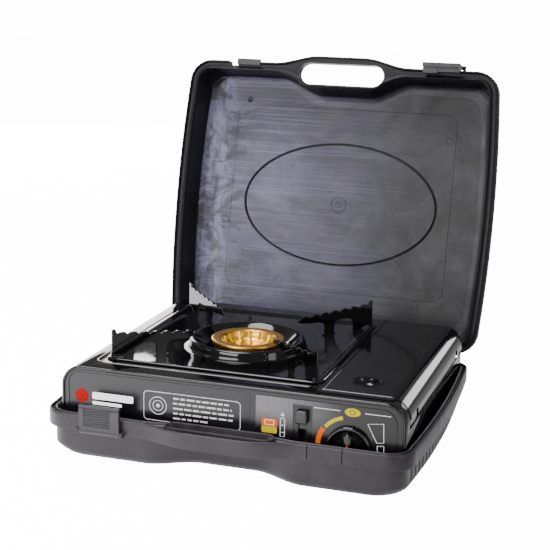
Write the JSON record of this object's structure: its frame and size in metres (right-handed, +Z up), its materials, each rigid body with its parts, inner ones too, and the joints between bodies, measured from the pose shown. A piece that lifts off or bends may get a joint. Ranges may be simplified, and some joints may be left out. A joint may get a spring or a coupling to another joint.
{
  "type": "camping stove",
  "caption": "Portable gas stove with a brass ring burner, enamelled pan support and cartridge bay, standing in an open dark grey carry case with a handle and snap latches.",
  "frame": {"origin": "on the flat underside of the case tray, in the stove's middle plane, halfway between the front and rear of the tray's body", "axes": "+Z up, -Y towards the front with the control knob and the case handle, +X to the stove's right, the cartridge side"},
  "size_m": [0.378, 0.4428, 0.3685],
  "materials": {
    "case_plastic": "fine-grained dark grey",
    "plated_steel": "zinc plated",
    "rubber": "matt",
    "black_enamel": "glossy black enamel",
    "black_paint": "semi-gloss black",
    "grey_label": "printed film",
    "knob_plastic": "glossy black",
    "cast_metal": "cast",
    "brass": "bright",
    "ceramic": "white",
    "wire_cover": "red cover"
  },
  "bodies": {
    "case": {"case_tray": "case_plastic", "case_hinge_pin_l": "plated_steel", "case_hinge_pin_r": "plated_steel", "tray_latch_pin": "plated_steel"},
    "lid": {"case_lid": "case_plastic", "lid_latch_pin": "plated_steel"},
    "tray_latch": {"tray_latch": "case_plastic"},
    "lid_latch": {"lid_latch": "case_plastic"},
    "cover": {"cartridge_cover": "black_enamel", "finger_cup": "black_enamel"},
    "knob": {"control_knob": "knob_plastic", "knob_shaft": "plated_steel"},
    "lever": {"cartridge_lever": "knob_plastic", "lever_slider": "plated_steel"},
    "pusher": {"cartridge_pusher": "plated_steel"},
    "pan_support": {"pan_support_plate": "black_enamel", "support_arm_fl": "black_enamel", "support_arm_fr": "black_enamel", "support_arm_bl": "black_enamel", "support_arm_br": "black_enamel"},
    "stove": {"chassis_base": "plated_steel", "foot_fl": "rubber", "foot_fr": "rubber", "foot_bl": "rubber", "foot_br": "rubber", "top_shell": "black_enamel", "front_panel": "black_paint", "control_label": "grey_label", "rear_panel": "black_paint", "partition_plate": "plated_steel", "cover_hinge_pin": "plated_steel", "cover_bracket_f": "plated_steel", "cover_bracket_r": "plated_steel", "cartridge_cradle": "plated_steel", "regulator_body": "cast_metal", "regulator_socket": "cast_metal", "gas_pipe": "brass", "injector_nozzle": "brass", "mixer_tube": "cast_metal", "piezo_igniter": "knob_plastic", "electrode_insulator": "ceramic", "electrode_pin": "plated_steel", "igniter_wire": "wire_cover", "burner_bridge": "plated_steel", "burner_base": "cast_metal", "burner_head": "brass", "burner_cup": "brass", "burner_screw": "plated_steel"}
  },
  "joints": [
    {"name": "lid_hinge", "type": "hinge", "parent": "case", "child": "lid", "pos_m": [-0.0005, 0.1625, 0.047], "axis": [-1, 0, 0], "range_deg": [-76, 0]},
    {"name": "tray_latch_hinge", "type": "hinge", "parent": "case", "child": "tray_latch", "pos_m": [-0.12125, -0.1621, 0.0335], "axis": [1, 0, 0], "range_deg": [0, 95]},
    {"name": "lid_latch_hinge", "type": "hinge", "parent": "lid", "child": "lid_latch", "pos_m": [0.11725, 0.24594, 0.36098], "axis": [-1, 0, 0], "range_deg": [0, 95]},
    {"name": "stove_lift", "type": "slide", "parent": "case", "child": "stove", "axis": [0, 0, 1], "range_m": [0, 0.06]},
    {"name": "pan_support_lift", "type": "slide", "parent": "stove", "child": "pan_support", "axis": [0, 0, 1], "range_m": [0, 0.05]},
    {"name": "cover_hinge", "type": "hinge", "parent": "stove", "child": "cover", "pos_m": [0.167, 0, 0.068], "axis": [0, 1, 0], "range_deg": [0, 95]},
    {"name": "knob_turn", "type": "hinge", "parent": "stove", "child": "knob", "pos_m": [0.118, -0.14, 0.043], "axis": [0, 1, 0], "range_deg": [-130, 0]},
    {"name": "lever_slide", "type": "slide", "parent": "stove", "child": "lever", "axis": [0, 0, -1], "range_m": [0, 0.0185]},
    {"name": "pusher_slide", "type": "slide", "parent": "stove", "child": "pusher", "axis": [0, -1, 0], "range_m": [0, 0.009]}
  ],
  "couplings": [
    {"joint": "pusher_slide", "follows": "lever_slide", "ratio": 0.45}
  ]
}
